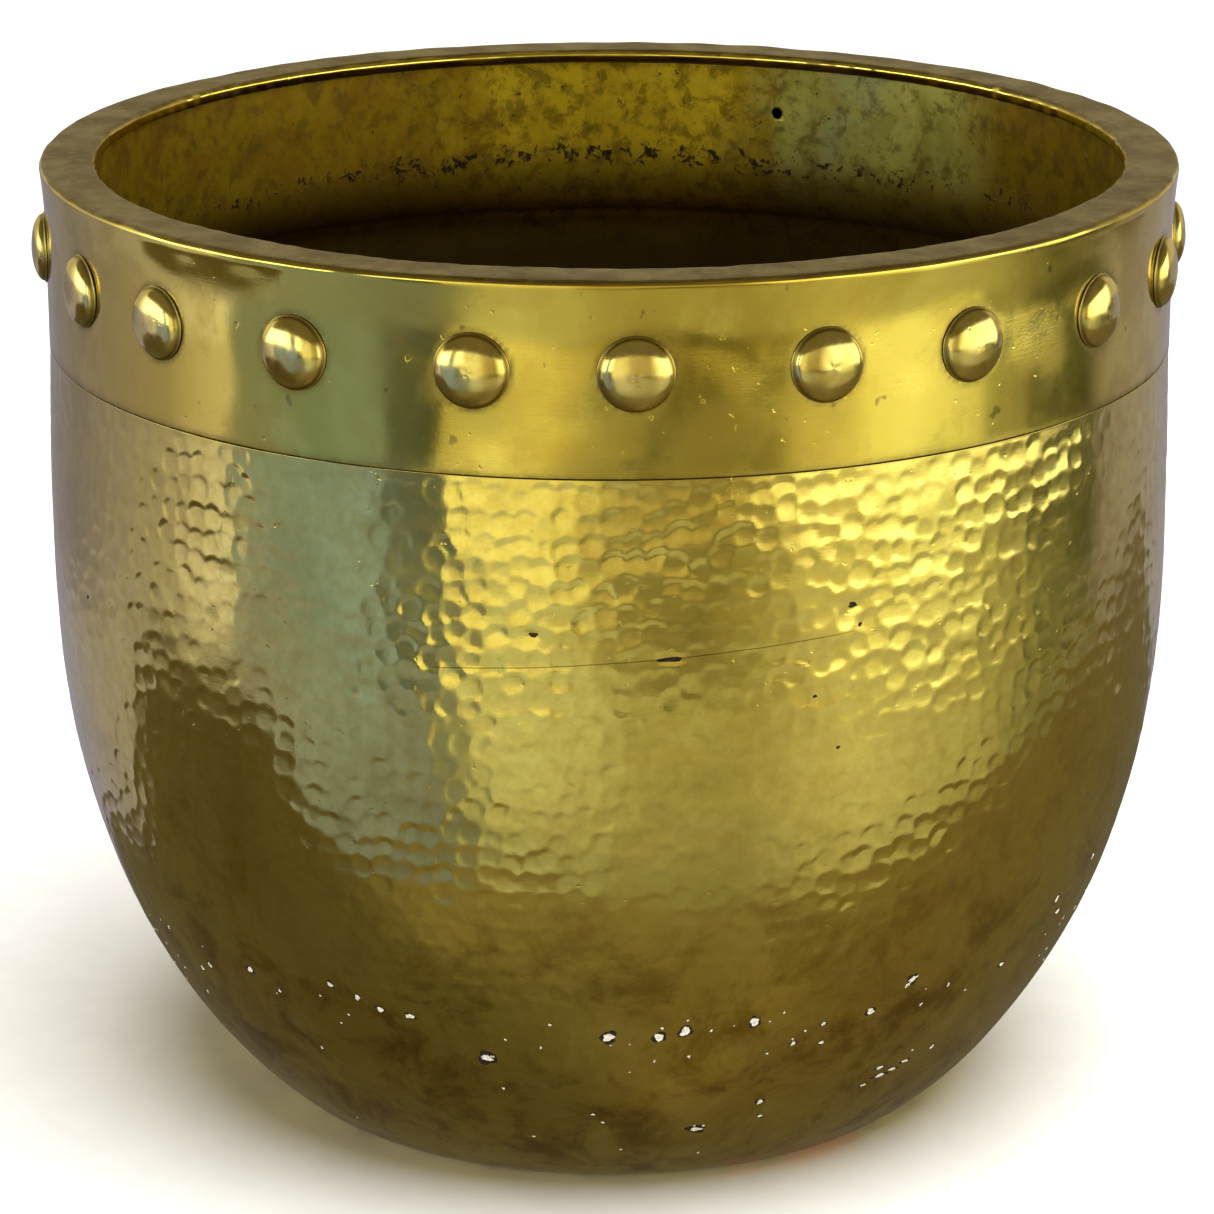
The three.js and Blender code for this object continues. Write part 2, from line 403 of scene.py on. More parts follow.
def collar_face():
    """Radius and height up the collar's outer face, over the lip and down its inner return."""
    flare_foot = POT_HEIGHT - FLARE_DEPTH
    fold = POT_HEIGHT - LIP_CORNER
    face = [(SEAM_RADIUS, SEAM_HEIGHT)]
    face += [(SEAM_RADIUS, h) for h in np.linspace(SEAM_HEIGHT + 0.3 * MM, flare_foot, 24)]
    for t in np.linspace(0, 1, 14)[1:]:
        radius = SEAM_RADIUS + (RIM_RADIUS - SEAM_RADIUS) * t**2
        face.append((radius, flare_foot + (fold - flare_foot) * t))
    for angle in np.linspace(0, math.pi / 2, 8)[1:]:
        reach = RIM_RADIUS - LIP_CORNER + LIP_CORNER * math.cos(angle)
        face.append((reach, fold + LIP_CORNER * math.sin(angle)))
    inner = RIM_RADIUS - LIP_WIDTH
    for radius in np.linspace(RIM_RADIUS - LIP_CORNER, inner + LIP_CORNER, 12)[1:]:
        face.append((radius, POT_HEIGHT))
    for angle in np.linspace(math.pi / 2, math.pi, 8)[1:]:
        reach = inner + LIP_CORNER + LIP_CORNER * math.cos(angle)
        face.append((reach, fold + LIP_CORNER * math.sin(angle)))
    face += [(inner, h) for h in np.linspace(fold, POT_HEIGHT - LIP_RETURN, 4)[1:]]
    return np.array(face)


def stud_places():
    """Each stud's bearing and height, from where its solid stands."""
    places = []
    for name in STUDS:
        low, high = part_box(name)
        middle = (low + high) / 2
        places.append((name, math.atan2(middle.x, -middle.y), middle.z))
    return places


def collar_rings():
    face = collar_face()
    back = face - COLLAR_SHEET * normals_of(face)
    bearings = TURN * np.arange(COLLAR_COLUMNS) / COLLAR_COLUMNS
    ripple = uneven(41, 34, 30)
    broad = uneven(42, 12, 10)
    nick = uneven(43, 150, 60, 24)
    press = uneven(44, 60, 40, 20)
    rub = uneven(45, 110, 30, 24)
    dimple = uneven(46, 62, 48, 24)
    out = normals_of(face)
    places = stud_places()
    fields = {"worn": [], "grime_and_shade": []}
    rings = []
    for i, (radius, height) in enumerate(face):
        sink = 0.07 * MM * (1 + ripple(bearings, height)) + 0.12 * MM * (1 + broad(bearings, height))
        sink = sink + 0.022 * MM * (1 + dimple(bearings, height))
        for _, bearing, middle in places:
            away = np.hypot(SEAM_RADIUS * turned_from(bearings, bearing), height - middle)
            sink = sink * (1 - np.exp(-((away / (15 * MM)) ** 2)))
        corner = math.exp(-(((radius - RIM_RADIUS + 1.2 * MM) / (2.2 * MM)) ** 2))
        corner *= float(smooth(height, POT_HEIGHT - 9 * MM, POT_HEIGHT - 2 * MM))
        sink = sink + corner * 0.15 * MM * (1 + press(bearings, 0.0))
        edge = math.exp(-(((radius - RIM_RADIUS + LIP_WIDTH) / (2.5 * MM)) ** 2))
        sink = sink + edge * 0.18 * MM * (1 + nick(bearings, radius))
        down = np.clip(sink, 0, None)
        rings.append(ring(radius, height - down * out[i, 1], COLLAR_COLUMNS, down * out[i, 0]))
        outer = radius > RIM_RADIUS - LIP_WIDTH / 2
        upright = out[i, 1] + 0.16 * rub(bearings, 0.0)
        behind = 1 - smooth(np.cos(bearings), -0.75, -0.35)
        fields["worn"].append(smooth(upright, 0.35 if outer else 0.1 + 0.6 * behind, 0.75))
        # Painted shade, with some grime: darker just above the seam with the bowl and in a thin ring round
        # each stud's edge.
        grime_and_shade = np.exp(-((height - SEAM_HEIGHT) / (1.1 * MM))) * np.ones(COLLAR_COLUMNS)
        if height < POT_HEIGHT - LIP_CORNER and radius > NECK_RADIUS:
            for _, bearing, middle in places:
                u = SEAM_RADIUS * turned_from(bearings, bearing)
                away = np.hypot(u, height - middle) - STUD_RADIUS
                grime_and_shade = np.maximum(grime_and_shade, np.exp(-((np.abs(away) / (1.2 * MM)) ** 2)))
        fields["grime_and_shade"].append(grime_and_shade)
    for radius, height in back[::-1]:
        rings.append(ring(radius, height, COLLAR_COLUMNS // 2))
        fields["worn"].append(np.zeros(COLLAR_COLUMNS // 2))
        # Painted shade: the hidden back of the sheet is dark all over.
        fields["grime_and_shade"].append(np.ones(COLLAR_COLUMNS // 2))
    return rings, {key: np.concatenate(value) for key, value in fields.items()}


# ---- The studs' shape ----


def stud_rings(seed):
    """One rivet about its own axis: across, up and outwards, from its tail to the top of its dome."""
    rng = np.random.default_rng(900 + seed)
    columns = 64
    radius = STUD_RADIUS
    dome = (4.6 + rng.uniform(-0.25, 0.0)) * MM
    brim = 0.7 * MM
    foot = 11.9 * MM
    section = [(1.6 * MM, -3.45 * MM), (2.5 * MM, -3.35 * MM), (3.9 * MM, -2.6 * MM)]
    section += [(4.0 * MM, -2.2 * MM), (3.7 * MM, -1.75 * MM), (2.5 * MM, -1.7 * MM)]
    section += [(2.5 * MM, 0.25 * MM), (6 * MM, 0.3 * MM), (radius - 0.4 * MM, 0.3 * MM)]
    section += [(radius - 0.1 * MM, 0.35 * MM), (radius, 0.5 * MM), (radius - 0.1 * MM, 0.72 * MM)]
    section += [(radius - 0.3 * MM, 0.86 * MM), (foot + 0.15 * MM, 0.92 * MM)]
    for angle in np.linspace(0.1, math.pi / 2, 18)[:-1]:
        reach = foot * math.cos(angle) ** 0.94
        section.append((reach, 0.3 * MM + brim + dome * math.sin(angle)))
    turn = TURN * np.arange(columns) / columns
    lump = uneven(950 + seed, 3, 60, 8)
    rings = []
    for reach, height in section:
        sink = 0.05 * MM * (1 + lump(turn, reach)) if height > brim + 0.4 * MM else 0.0
        across = reach * np.cos(turn)
        up = reach * np.sin(turn)
        rings.append(np.column_stack((across, up, np.broadcast_to(height - sink, columns))))
    return rings


def bent_round(points, bearing, height):
    """Points of a stud laid on the collar, following its curve."""
    turn = bearing + points[:, 0] / SEAM_RADIUS
    reach = SEAM_RADIUS - 0.3 * MM + points[:, 2]
    return np.column_stack((reach * np.sin(turn), -reach * np.cos(turn), height + points[:, 1]))


# ---- Materials ----


class Tree:
    """A node tree being built, with short ways to add the nodes used most."""

    def __init__(self, owner):
        owner.use_nodes = True
        self.tree = owner.node_tree
        self.tree.nodes.clear()

    def add(self, kind, inputs=(), **settings):
        node = self.tree.nodes.new(kind)
        for key, value in settings.items():
            setattr(node, key, value)
        for key, value in dict(inputs).items():
            if isinstance(value, bpy.types.NodeSocket):
                self.tree.links.new(value, node.inputs[key])
            else:
                node.inputs[key].default_value = value
        return node

    def math(self, operation, *values, clamp=False):
        node = self.add("ShaderNodeMath", dict(enumerate(values)), operation=operation)
        node.use_clamp = clamp
        return node.outputs[0]

    def remap(self, value, low, high, to_low=0.0, to_high=1.0):
        inputs = {0: value, 1: low, 2: high, 3: to_low, 4: to_high}
        node = self.add("ShaderNodeMapRange", inputs, interpolation_type="SMOOTHSTEP")
        return node.outputs[0]

    def mix(self, factor, a, b, blend="MIX"):
        node = self.add("ShaderNodeMix", data_type="RGBA", blend_type=blend)
        for index, value in ((0, factor), (6, a), (7, b)):
            if isinstance(value, bpy.types.NodeSocket):
                self.tree.links.new(value, node.inputs[index])
            elif index:
                node.inputs[index].default_value = (*value, 1)
            else:
                node.inputs[index].default_value = value
        return node.outputs[2]

    def noise(self, where, scale, detail=3.0, roughness=0.55, distortion=0.0):
        inputs = {"Vector": where, "Scale": scale, "Detail": detail}
        inputs.update({"Roughness": roughness, "Distortion": distortion})
        return self.add("ShaderNodeTexNoise", inputs).outputs[0]

    def ramp(self, value, stops):
        node = self.add("ShaderNodeValToRGB", {0: value})
        strip = node.color_ramp
        for place, _ in stops[2:]:
            strip.elements.new(place)
        stops = sorted(stops)
        for element, (place, _) in zip(strip.elements, stops):
            element.position = place
        for element, (_, colour) in zip(strip.elements, stops):
            element.color = (*colour, 1)
        return node.outputs[0]

    def place(self):
        """Where a point lies on the object, and its height on its own."""
        where = self.add("ShaderNodeTexCoord").outputs["Object"]
        height = self.add("ShaderNodeSeparateXYZ", {0: where}).outputs[2]
        return where, height

    def stretched(self, where, scale):
        inputs = {"Vector": where, "Scale": scale}
        return self.add("ShaderNodeMapping", inputs).outputs[0]

    def field(self, name):
        return self.add("ShaderNodeAttribute", attribute_name=name).outputs["Fac"]

    def bump(self, height, strength, distance, normal=None):
        inputs = {"Height": height, "Strength": strength, "Distance": distance}
        if normal is not None:
            inputs["Normal"] = normal
        return self.add("ShaderNodeBump", inputs).outputs[0]

    def surface(self, **inputs):
        names = {key.replace("_", " "): value for key, value in inputs.items()}
        shader = self.add("ShaderNodeBsdfPrincipled", names)
        self.add("ShaderNodeOutputMaterial", {0: shader.outputs[0]})


def new_material(name):
    material = bpy.data.materials.new(name)
    return material, Tree(material)


def fine_bump(tree, where, grain=0.12, scratch=0.10):
    """Polishing lines, small pits and grain."""
    lines = tree.noise(tree.stretched(where, (60, 60, 900)), 1.0, 4, 0.6, 0.4)
    strokes = tree.noise(tree.stretched(where, (240, 240, 30)), 1.0, 3, 0.6, 1.5)
    speck = tree.noise(where, 900, 2, 0.6)
    pits = tree.remap(tree.noise(where, 260, 2, 0.5), 0.30, 0.22)
    first = tree.bump(speck, grain, 0.00006)
    second = tree.bump(tree.math("ADD", lines, strokes), scratch, 0.00006, first)
    return tree.bump(tree.math("MULTIPLY", pits, -1.0), 0.35, 0.00012, second)


def bowl_brass():
    material, tree = new_material("hammered_brass")
    where, height = tree.place()
    cloud = tree.noise(where, 9, 5, 0.6, 0.6)
    patch = tree.noise(where, 38, 5, 0.62, 0.3)
    fleck = tree.noise(where, 210, 3, 0.6)
    low = tree.remap(height, 0.15, 0.02)
    dull = tree.math("ADD", tree.math("MULTIPLY", low, 0.55), tree.remap(patch, 0.42, 0.72, 0, 0.35))
    dull = tree.math("ADD", dull, tree.remap(cloud, 0.45, 0.7, 0.0, 0.3), clamp=True)
    clean = tree.mix(tree.remap(fleck, 0.35, 0.7), (0.85, 0.71, 0.17), (0.77, 0.61, 0.13))
    colour = tree.mix(dull, clean, (0.58, 0.43, 0.085))
    stain = tree.remap(tree.noise(where, 30, 6, 0.7, 0.4), 0.44, 0.64)
    stain = tree.math("MULTIPLY", stain, tree.remap(height, 0.17, 0.05, 0.15, 0.85))
    colour = tree.mix(stain, colour, (0.30, 0.18, 0.025))
    pale = tree.remap(tree.noise(tree.stretched(where, (34, 34, 22)), 1.0, 5, 0.65, 0.2), 0.50, 0.64)
    pale = tree.math("MULTIPLY", pale, tree.remap(height, 0.18, 0.08, 0.1, 0.6))
    colour = tree.mix(pale, colour, (0.78, 0.64, 0.17))
    across = tree.add("ShaderNodeSeparateXYZ", {0: where}).outputs
    line = tree.math("SUBTRACT", height, tree.math("MULTIPLY", across[0], 0.07))
    line = tree.math("ADD", line, tree.math("MULTIPLY", tree.noise(where, 30, 2), 0.0016))
    line = tree.math("ABSOLUTE", tree.math("SUBTRACT", line, 0.2190))
    line = tree.remap(line, 0.00030, 0.00008)
    ends = tree.remap(tree.math("ABSOLUTE", tree.math("SUBTRACT", across[0], 0.01)), 0.078, 0.060)
    line = tree.math("MULTIPLY", line, tree.math("MULTIPLY", ends, tree.remap(across[1], 0.0, -0.05)))
    colour = tree.mix(tree.math("MULTIPLY", line, 0.75), colour, (0.20, 0.14, 0.03))
    rust = tree.math("ABSOLUTE", tree.math("SUBTRACT", across[0], 0.078))
    rust = tree.math("ADD", tree.noise(where, 22, 4, 0.6), tree.remap(rust, 0.022, 0.0, 0, 0.22))
    rust = tree.math("MULTIPLY", tree.remap(rust, 0.60, 0.72), tree.remap(height, 0.010, 0.003))
    colour = tree.mix(rust, colour, (0.85, 0.34, 0.08))
    rough = tree.remap(patch, 0.3, 0.75, 0.09, 0.17)
    rough = tree.math("ADD", rough, tree.math("MULTIPLY", low, 0.09))
    rough = tree.math("ADD", rough, tree.remap(fleck, 0.4, 0.7, -0.01, 0.03))
    tree.surface(Base_Color=colour, Metallic=1.0, Roughness=rough, Normal=fine_bump(tree, where))
    return material


def interior_brass():
    material, tree = new_material("tarnished_interior")
    where, height = tree.place()
    cloud = tree.noise(where, 11, 5, 0.62, 0.8)
    patch = tree.noise(where, 48, 5, 0.65, 0.5)
    runs = tree.noise(tree.stretched(where, (60, 60, 7)), 1.0, 4, 0.6, 0.6)
    side = tree.add("ShaderNodeSeparateXYZ", {0: where}).outputs[0]
    gold = tree.mix(tree.remap(patch, 0.35, 0.65), (1.0, 0.74, 0.03), (0.70, 0.49, 0.02))
    olive = tree.mix(tree.remap(patch, 0.4, 0.62), (0.46, 0.30, 0.012), (0.30, 0.17, 0.006))
    # Painted light and shade: a lighter gold round the middle of the front and back of the inside, a
    # darker olive towards the left and right sides.
    wide = tree.math("ADD", tree.math("ABSOLUTE", side), tree.math("MULTIPLY", cloud, 0.1))
    colour = tree.mix(tree.remap(wide, 0.080, 0.125), gold, olive)
    right = tree.remap(tree.math("ADD", side, tree.math("MULTIPLY", patch, 0.06)), 0.075, 0.105)
    right = tree.math("MULTIPLY", right, tree.remap(side, 0.155, 0.125))
    colour = tree.mix(tree.math("MULTIPLY", right, 0.9), colour, (0.62, 0.60, 0.12))
    colour = tree.mix(tree.remap(runs, 0.5, 0.7, 0, 0.5), colour, (0.38, 0.24, 0.012))
    streak = tree.math("SUBTRACT", side, tree.remap(height, 0.346, 0.29, 0.100, 0.080))
    streak = tree.remap(tree.math("ABSOLUTE", streak), 0.020, 0.004)
    film = tree.math("MULTIPLY", streak, tree.remap(patch, 0.40, 0.62, 0.1, 0.7))
    colour = tree.mix(film, colour, (0.37, 0.42, 0.18))
    line = tree.math("ADD", height, tree.math("MULTIPLY", tree.noise(where, 14, 2), 0.014))
    # Below the ragged stain line the wall turns dark brown: partly a real soil stain, partly painted shade
    # inside the pot.
    below = tree.remap(line, 0.317, 0.303)
    colour = tree.mix(tree.math("MULTIPLY", below, 0.65), colour, (0.25, 0.15, 0.012))
    mottle = tree.noise(where, 120, 6, 0.72, 0.3)
    colour = tree.mix(tree.remap(mottle, 0.46, 0.63, 0, 0.68), colour, (0.17, 0.105, 0.012))
    crust_zone = tree.remap(tree.math("ABSOLUTE", tree.math("SUBTRACT", line, 0.3085)), 0.007, 0.001)
    crust = tree.noise(where, 210, 5, 0.7, 0.4)
    crust = tree.math("ADD", crust, tree.math("MULTIPLY", crust_zone, 0.11))
    crust = tree.math("ADD", crust, tree.remap(wide, 0.10, 0.18, 0.0, -0.03))
    crust = tree.remap(crust, 0.60, 0.69)
    colour = tree.mix(tree.math("MULTIPLY", crust, 0.95), colour, (0.035, 0.022, 0.010))
    # Painted shade: darker still further down inside the pot.
    deep = tree.remap(line, 0.296, 0.262)
    colour = tree.mix(deep, colour, (0.12, 0.08, 0.018))
    rough = tree.remap(patch, 0.3, 0.7, 0.30, 0.48)
    rough = tree.math("ADD", rough, tree.math("MULTIPLY", crust, 0.3))
    normal = tree.bump(tree.math("ADD", patch, crust), 0.35, 0.0004, fine_bump(tree, where))
    tree.surface(Base_Color=colour, Metallic=0.8, Roughness=rough, Normal=normal)
    return material


def collar_brass():
    material, tree = new_material("collar_brass")
    where = tree.place()[0]
    cloud = tree.noise(where, 12, 5, 0.6, 0.8)
    patch = tree.noise(where, 46, 5, 0.62, 0.4)
    fleck = tree.noise(where, 260, 3, 0.6)
    clean = tree.mix(tree.remap(cloud, 0.42, 0.60), (0.86, 0.69, 0.13), (0.68, 0.52, 0.08))
    colour = tree.mix(tree.remap(patch, 0.45, 0.64, 0, 0.6), clean, (0.64, 0.46, 0.07))
    spots = tree.remap(tree.noise(where, 130, 2, 0.5), 0.70, 0.76)
    colour = tree.mix(tree.math("MULTIPLY", spots, 0.6), colour, (0.20, 0.14, 0.05))
    # Painted shade, with some grime: darker above the seam, round the studs and over the sheet's hidden
    # back.
    grime_and_shade = tree.math("MULTIPLY", tree.field("grime_and_shade"), tree.remap(fleck, 0.3, 0.6, 0.6, 1.0))
    colour = tree.mix(tree.math("MULTIPLY", grime_and_shade, 0.75), colour, (0.10, 0.07, 0.02))
    worn = tree.field("worn")
    grey = tree.mix(tree.remap(patch, 0.35, 0.65), (0.34, 0.26, 0.078), (0.24, 0.175, 0.045))
    grey = tree.mix(tree.remap(fleck, 0.5, 0.7, 0, 0.5), grey, (0.43, 0.335, 0.11))
    scuff = tree.remap(tree.noise(where, 95, 5, 0.7, 0.6), 0.52, 0.66)
    grey = tree.mix(tree.math("MULTIPLY", scuff, 0.6), grey, (0.15, 0.105, 0.028))
    colour = tree.mix(worn, colour, grey)
    rough = tree.remap(patch, 0.35, 0.65, 0.06, 0.15)
    rough = tree.math("ADD", rough, tree.math("MULTIPLY", grime_and_shade, 0.2))
    rough = tree.math("ADD", rough, tree.math("MULTIPLY", worn, 0.32))
    tree.surface(
        Base_Color=colour, Metallic=1.0, Roughness=rough, Normal=fine_bump(tree, where, 0.10, 0.08)
    )
    return material


def stud_brass():
    material, tree = new_material("stud_brass")
    where = tree.place()[0]
    patch = tree.noise(where, 110, 4, 0.6, 0.4)
    fleck = tree.noise(where, 700, 3, 0.6)
    colour = tree.mix(tree.remap(patch, 0.4, 0.7), (0.80, 0.65, 0.19), (0.66, 0.51, 0.12))
    # Painted shade, with some grime: darker round the brim's edge and underneath, where the stud meets the
    # collar.
    grime_and_shade = tree.field("grime_and_shade")
    colour = tree.mix(tree.math("MULTIPLY", grime_and_shade, 0.8), colour, (0.12, 0.08, 0.02))
    rough = tree.remap(fleck, 0.35, 0.7, 0.13, 0.20)
    rough = tree.math("ADD", rough, tree.math("MULTIPLY", grime_and_shade, 0.25))
    tree.surface(
        Base_Color=colour, Metallic=1.0, Roughness=rough, Normal=fine_bump(tree, where, 0.06, 0.06)
    )
    return material


def lime():
    material, tree = new_material("lime")
    where = tree.place()[0]
    grain = tree.noise(where, 900, 3, 0.6)
    colour = tree.mix(tree.remap(grain, 0.35, 0.65), (0.78, 0.75, 0.66), (0.52, 0.47, 0.36))
    rough = tree.remap(grain, 0.3, 0.7, 0.75, 0.9)
    tree.surface(Base_Color=colour, Roughness=rough, Normal=tree.bump(grain, 0.4, 0.0002))
    return material


def dark_crust():
    material, tree = new_material("dark_crust")
    where = tree.place()[0]
    grain = tree.noise(where, 800, 3, 0.6)
    colour = tree.mix(tree.remap(grain, 0.35, 0.65), (0.030, 0.019, 0.010), (0.012, 0.008, 0.005))
    rough = tree.remap(grain, 0.3, 0.7, 0.7, 0.9)
    normal = tree.bump(grain, 0.4, 0.0002)
    tree.surface(Base_Color=colour, Roughness=rough, Specular_IOR_Level=0.15, Normal=normal)
    return material


def floor_paint():
    material, tree = new_material("pale_floor")
    where = tree.place()[0]
    grain = tree.noise(where, 40, 4, 0.6)
    colour = tree.mix(tree.remap(grain, 0.4, 0.6), (0.86, 0.86, 0.85), (0.84, 0.84, 0.83))
    tree.surface(Base_Color=colour, Roughness=0.7, Normal=tree.bump(grain, 0.05, 0.0005))
    return material


# ---- Light ----

# Colour of the room from the window sills down to about 16 degrees below eye level, by bearing.
ROOM = [
    (-180, (0.33, 0.30, 0.36)),
    (-140, (0.24, 0.23, 0.33)),
    (-128, (0.29, 0.27, 0.42)),
    (-111, (0.39, 0.37, 0.60)),
    (-98, (0.44, 0.42, 0.60)),
    (-92, (0.64, 0.62, 0.90)),
    (-83, (0.82, 0.80, 1.15)),
    (-80, (0.30, 0.36, 0.66)),
    (-61, (0.25, 0.36, 0.72)),
    (-50, (0.29, 0.42, 0.90)),
    (-46, (0.27, 0.38, 0.80)),
    (-44, (0.14, 0.18, 0.33)),
    (-34, (0.11, 0.13, 0.18)),
    (-31.5, (0.60, 0.60, 0.55)),
    (-26, (0.75, 0.76, 0.70)),
    (-12, (0.80, 0.74, 0.60)),
    (-6, (0.45, 0.44, 0.36)),
    (-2, (0.23, 0.22, 0.16)),
    (20, (0.19, 0.17, 0.10)),
    (32, (0.27, 0.24, 0.14)),
    (39, (0.62, 0.54, 0.32)),
    (49, (0.72, 0.66, 0.38)),
    (53, (1.03, 0.97, 0.62)),
    (62, (1.10, 1.10, 0.80)),
    (79, (0.75, 0.74, 0.50)),
    (82, (0.34, 0.33, 0.24)),
    (90, (0.30, 0.29, 0.22)),
    (93, (0.13, 0.13, 0.11)),
    (112, (0.10, 0.10, 0.08)),
    (121, (0.33, 0.30, 0.42)),
    (140, (0.36, 0.34, 0.42)),
    (180, (0.33, 0.30, 0.36)),
]
# The same lower down, from about 19 degrees below eye level.
LOWER_ROOM = [
    (-180, (0.30, 0.29, 0.36)),
    (-110, (0.40, 0.38, 0.60)),
    (-80, (0.36, 0.36, 0.60)),
    (-60, (0.30, 0.38, 0.75)),
    (-38, (0.24, 0.28, 0.50)),
    (-32, (0.28, 0.30, 0.34)),
    (-25, (0.64, 0.66, 0.62)),
    (-8, (0.64, 0.66, 0.60)),
    (5, (0.50, 0.48, 0.37)),
    (28, (0.47, 0.45, 0.33)),
    (38, (0.58, 0.56, 0.46)),
    (48, (0.66, 0.63, 0.50)),
    (62, (0.58, 0.56, 0.46)),
    (84, (0.42, 0.40, 0.30)),
    (100, (0.20, 0.20, 0.16)),
    (125, (0.36, 0.33, 0.42)),
    (180, (0.30, 0.29, 0.36)),
]
# The bright windows at eye level, as shares of WINDOW_LIGHT.
WINDOW_LIGHT = 3.0
WINDOWS = [
    (-180, (0.18, 0.16, 0.11)),
    (-125, (0.20, 0.18, 0.14)),
    (-112, (0.35, 0.35, 0.38)),
    (-100, (0.85, 0.88, 0.95)),
    (-57, (0.95, 0.98, 1.00)),
    (-55, (0.10, 0.12, 0.16)),
    (-48, (0.09, 0.11, 0.14)),
    (-46, (0.85, 0.88, 0.90)),
    (-37, (0.80, 0.80, 0.75)),
    (-34, (0.40, 0.38, 0.26)),
    (-10, (0.37, 0.35, 0.23)),
    (-3, (0.23, 0.20, 0.12)),
    (22, (0.17, 0.14, 0.08)),
    (30, (0.38, 0.35, 0.22)),
    (42, (0.68, 0.68, 0.58)),
    (105, (0.78, 0.78, 0.74)),
    (112, (0.12, 0.12, 0.12)),
    (125, (0.20, 0.18, 0.14)),
    (180, (0.18, 0.16, 0.11)),
]
# Elevation below eye level, in degrees, where the windows end, by bearing.
SILLS = [(-180, -4), (-36, -5), (-33, -14.5), (2, -14.5), (6, -13), (105, -12), (112, -5), (180, -4)]
# Elevation below eye level, in degrees, under which the room is dark, by bearing.
TABLE_EDGE = [(-180, -22), (-150, -25), (-134, -29), (-125, -27), (-119, -24), (-111.5, -19.5)]
TABLE_EDGE += [(-100.6, -18.6), (-96, -19), (-76.5, -20), (-69, -23), (-66.5, -30), (-60, -34), (-30, -37)]
TABLE_EDGE += [(0, -42), (30, -43), (45, -40), (60, -36), (90, -26.5), (114, -18.8), (128, -17.3)]
TABLE_EDGE += [(139, -16), (150, -18), (180, -22)]
# Colour of the table, by bearing.
TABLE = [
    (-180, (0.14, 0.12, 0.08)),
    (-90, (0.10, 0.08, 0.05)),
    (-45, (0.13, 0.11, 0.07)),
    (0, (0.19, 0.16, 0.10)),
    (50, (0.24, 0.19, 0.10)),
    (90, (0.18, 0.14, 0.08)),
    (180, (0.14, 0.12, 0.08)),
]


def make_room():
    """What the metal mirrors: a room with windows at eye level, over a dark table."""
    world = bpy.data.worlds.new("studio")
    bpy.context.scene.world = world
    tree = Tree(world)
    way = tree.add("ShaderNodeTexCoord").outputs["Generated"]
    axes = tree.add("ShaderNodeSeparateXYZ", {0: way}).outputs
    bearing = tree.math("ARCTAN2", axes[0], tree.math("MULTIPLY", axes[1], -1.0))
    share = tree.math("ADD", tree.math("DIVIDE", bearing, TURN), 0.5)
    elevation = tree.math("DEGREES", tree.math("ARCSINE", axes[2]))

    def around(stops):
        return tree.ramp(share, [((b + 180) / 360, c) for b, c in stops])

    def level(stops):
        grey = around([(b, (-e / 90,) * 3) for b, e in stops])
        return tree.math("SUBTRACT", elevation, tree.math("MULTIPLY", grey, -90.0))

    halved = [(b, tuple(v / 2 for v in c)) for b, c in ROOM]
    upper = tree.mix(1.0, around(halved), (2.0, 2.0, 2.0), "MULTIPLY")
    room = tree.mix(tree.remap(elevation, -16.2, -18.8), upper, around(LOWER_ROOM))
    fall = tree.remap(elevation, -25, -42, 1.0, 0.6)
    room = tree.mix(1.0, room, fall, "MULTIPLY")
    front = tree.remap(tree.math("ABSOLUTE", bearing), math.radians(70), math.radians(35))
    near = tree.math("MULTIPLY", front, tree.remap(elevation, -62, -42))
    dark = tree.mix(near, around(TABLE), (0.25, 0.21, 0.13))
    room = tree.mix(tree.remap(level(TABLE_EDGE), 0.5, -0.5), room, dark)
    window = tree.mix(1.0, around(WINDOWS), (WINDOW_LIGHT,) * 3, "MULTIPLY")
    room = tree.mix(tree.remap(level(SILLS), -1.5, 1.0), room, window)
    behind = tree.remap(tree.math("ABSOLUTE", bearing), math.radians(100), math.radians(140), 0, 26)
    over = tree.math("SUBTRACT", elevation, behind)
    room = tree.mix(tree.remap(over, 13.0, 18.0), room, (0.18, 0.15, 0.09))
    seen = tree.add("ShaderNodeLightPath").outputs["Is Camera Ray"]
    colour = tree.mix(seen, room, (0.93, 0.93, 0.93))
    shader = tree.add("ShaderNodeBackground", {"Color": colour, "Strength": 1.0})
    tree.add("ShaderNodeOutputWorld", {0: shader.outputs[0]})


def add_area(name, place, aim, size, power):
    """A soft light that isn't mirrored in the metal."""
    light = bpy.data.lights.new(name, "AREA")
    light.shape = "DISK"
    light.size = size
    light.energy = power
    lamp = bpy.data.objects.new(name, light)
    bpy.context.scene.collection.objects.link(lamp)
    lamp.location = place
    lamp.rotation_mode = "QUATERNION"
    lamp.rotation_quaternion = (Vector(aim) - Vector(place)).to_track_quat("-Z", "Y")
    lamp.visible_glossy = False
    lamp.visible_camera = False


def make_stage():
    rings = [ring(radius, -0.0002, 96) for radius in (12.0, 3.0, 1.0, 0.3, 0.05)]
    points, triangles, quads = skin(rings, poles=True)
    triangles = triangles[len(rings[0]) :]
    floor = make_piece("floor", points, triangles, quads, [floor_paint()])
    floor.visible_glossy = False
    add_area("overhead", (0.8, -1.0, 5.0), (0, 0, 0.1), 6.0, 620)


def make_camera():
    data = bpy.data.cameras.new("camera")
    data.sensor_width = 36
    data.lens = 138.28
    camera = bpy.data.objects.new("camera", data)
    bpy.context.scene.collection.objects.link(camera)
    camera.location = (0, -1.6405, 0.6956)
    camera.rotation_mode = "QUATERNION"
    camera.rotation_quaternion = Vector((-0.0005, 0.9528, -0.3035)).to_track_quat("-Z", "Y")
    data.clip_start = 0.05
    data.clip_end = 100
    bpy.context.scene.camera = camera
    bpy.context.scene.view_settings.view_transform = "Standard"


# ---- The pieces ----


